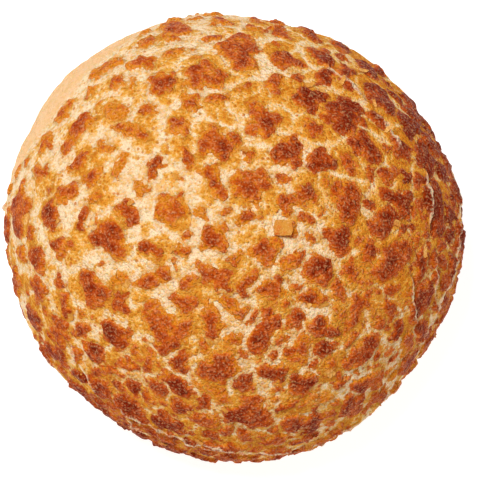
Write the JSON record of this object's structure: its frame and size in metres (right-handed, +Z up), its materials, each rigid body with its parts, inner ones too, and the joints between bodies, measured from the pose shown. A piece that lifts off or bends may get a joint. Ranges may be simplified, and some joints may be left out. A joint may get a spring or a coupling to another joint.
{
  "type": "tiger bread roll",
  "caption": "Round domed bread roll with a flat base and a crackled rice-paste crust of raised browned plates, for serving or filling.",
  "frame": {"origin": "middle of the outline on the surface that the roll stands on, at the height of its flat base", "axes": "+Z up out of the domed top; -Y towards the front, the side that the picture shows nearest; +X to its right"},
  "size_m": [0.1097, 0.1089, 0.0619],
  "materials": {
    "crust": "baked crust, satin on the browned plates and matt on the pale dough between them"
  },
  "bodies": {
    "root": {"tiger_roll": "crust"}
  },
  "joints": []
}
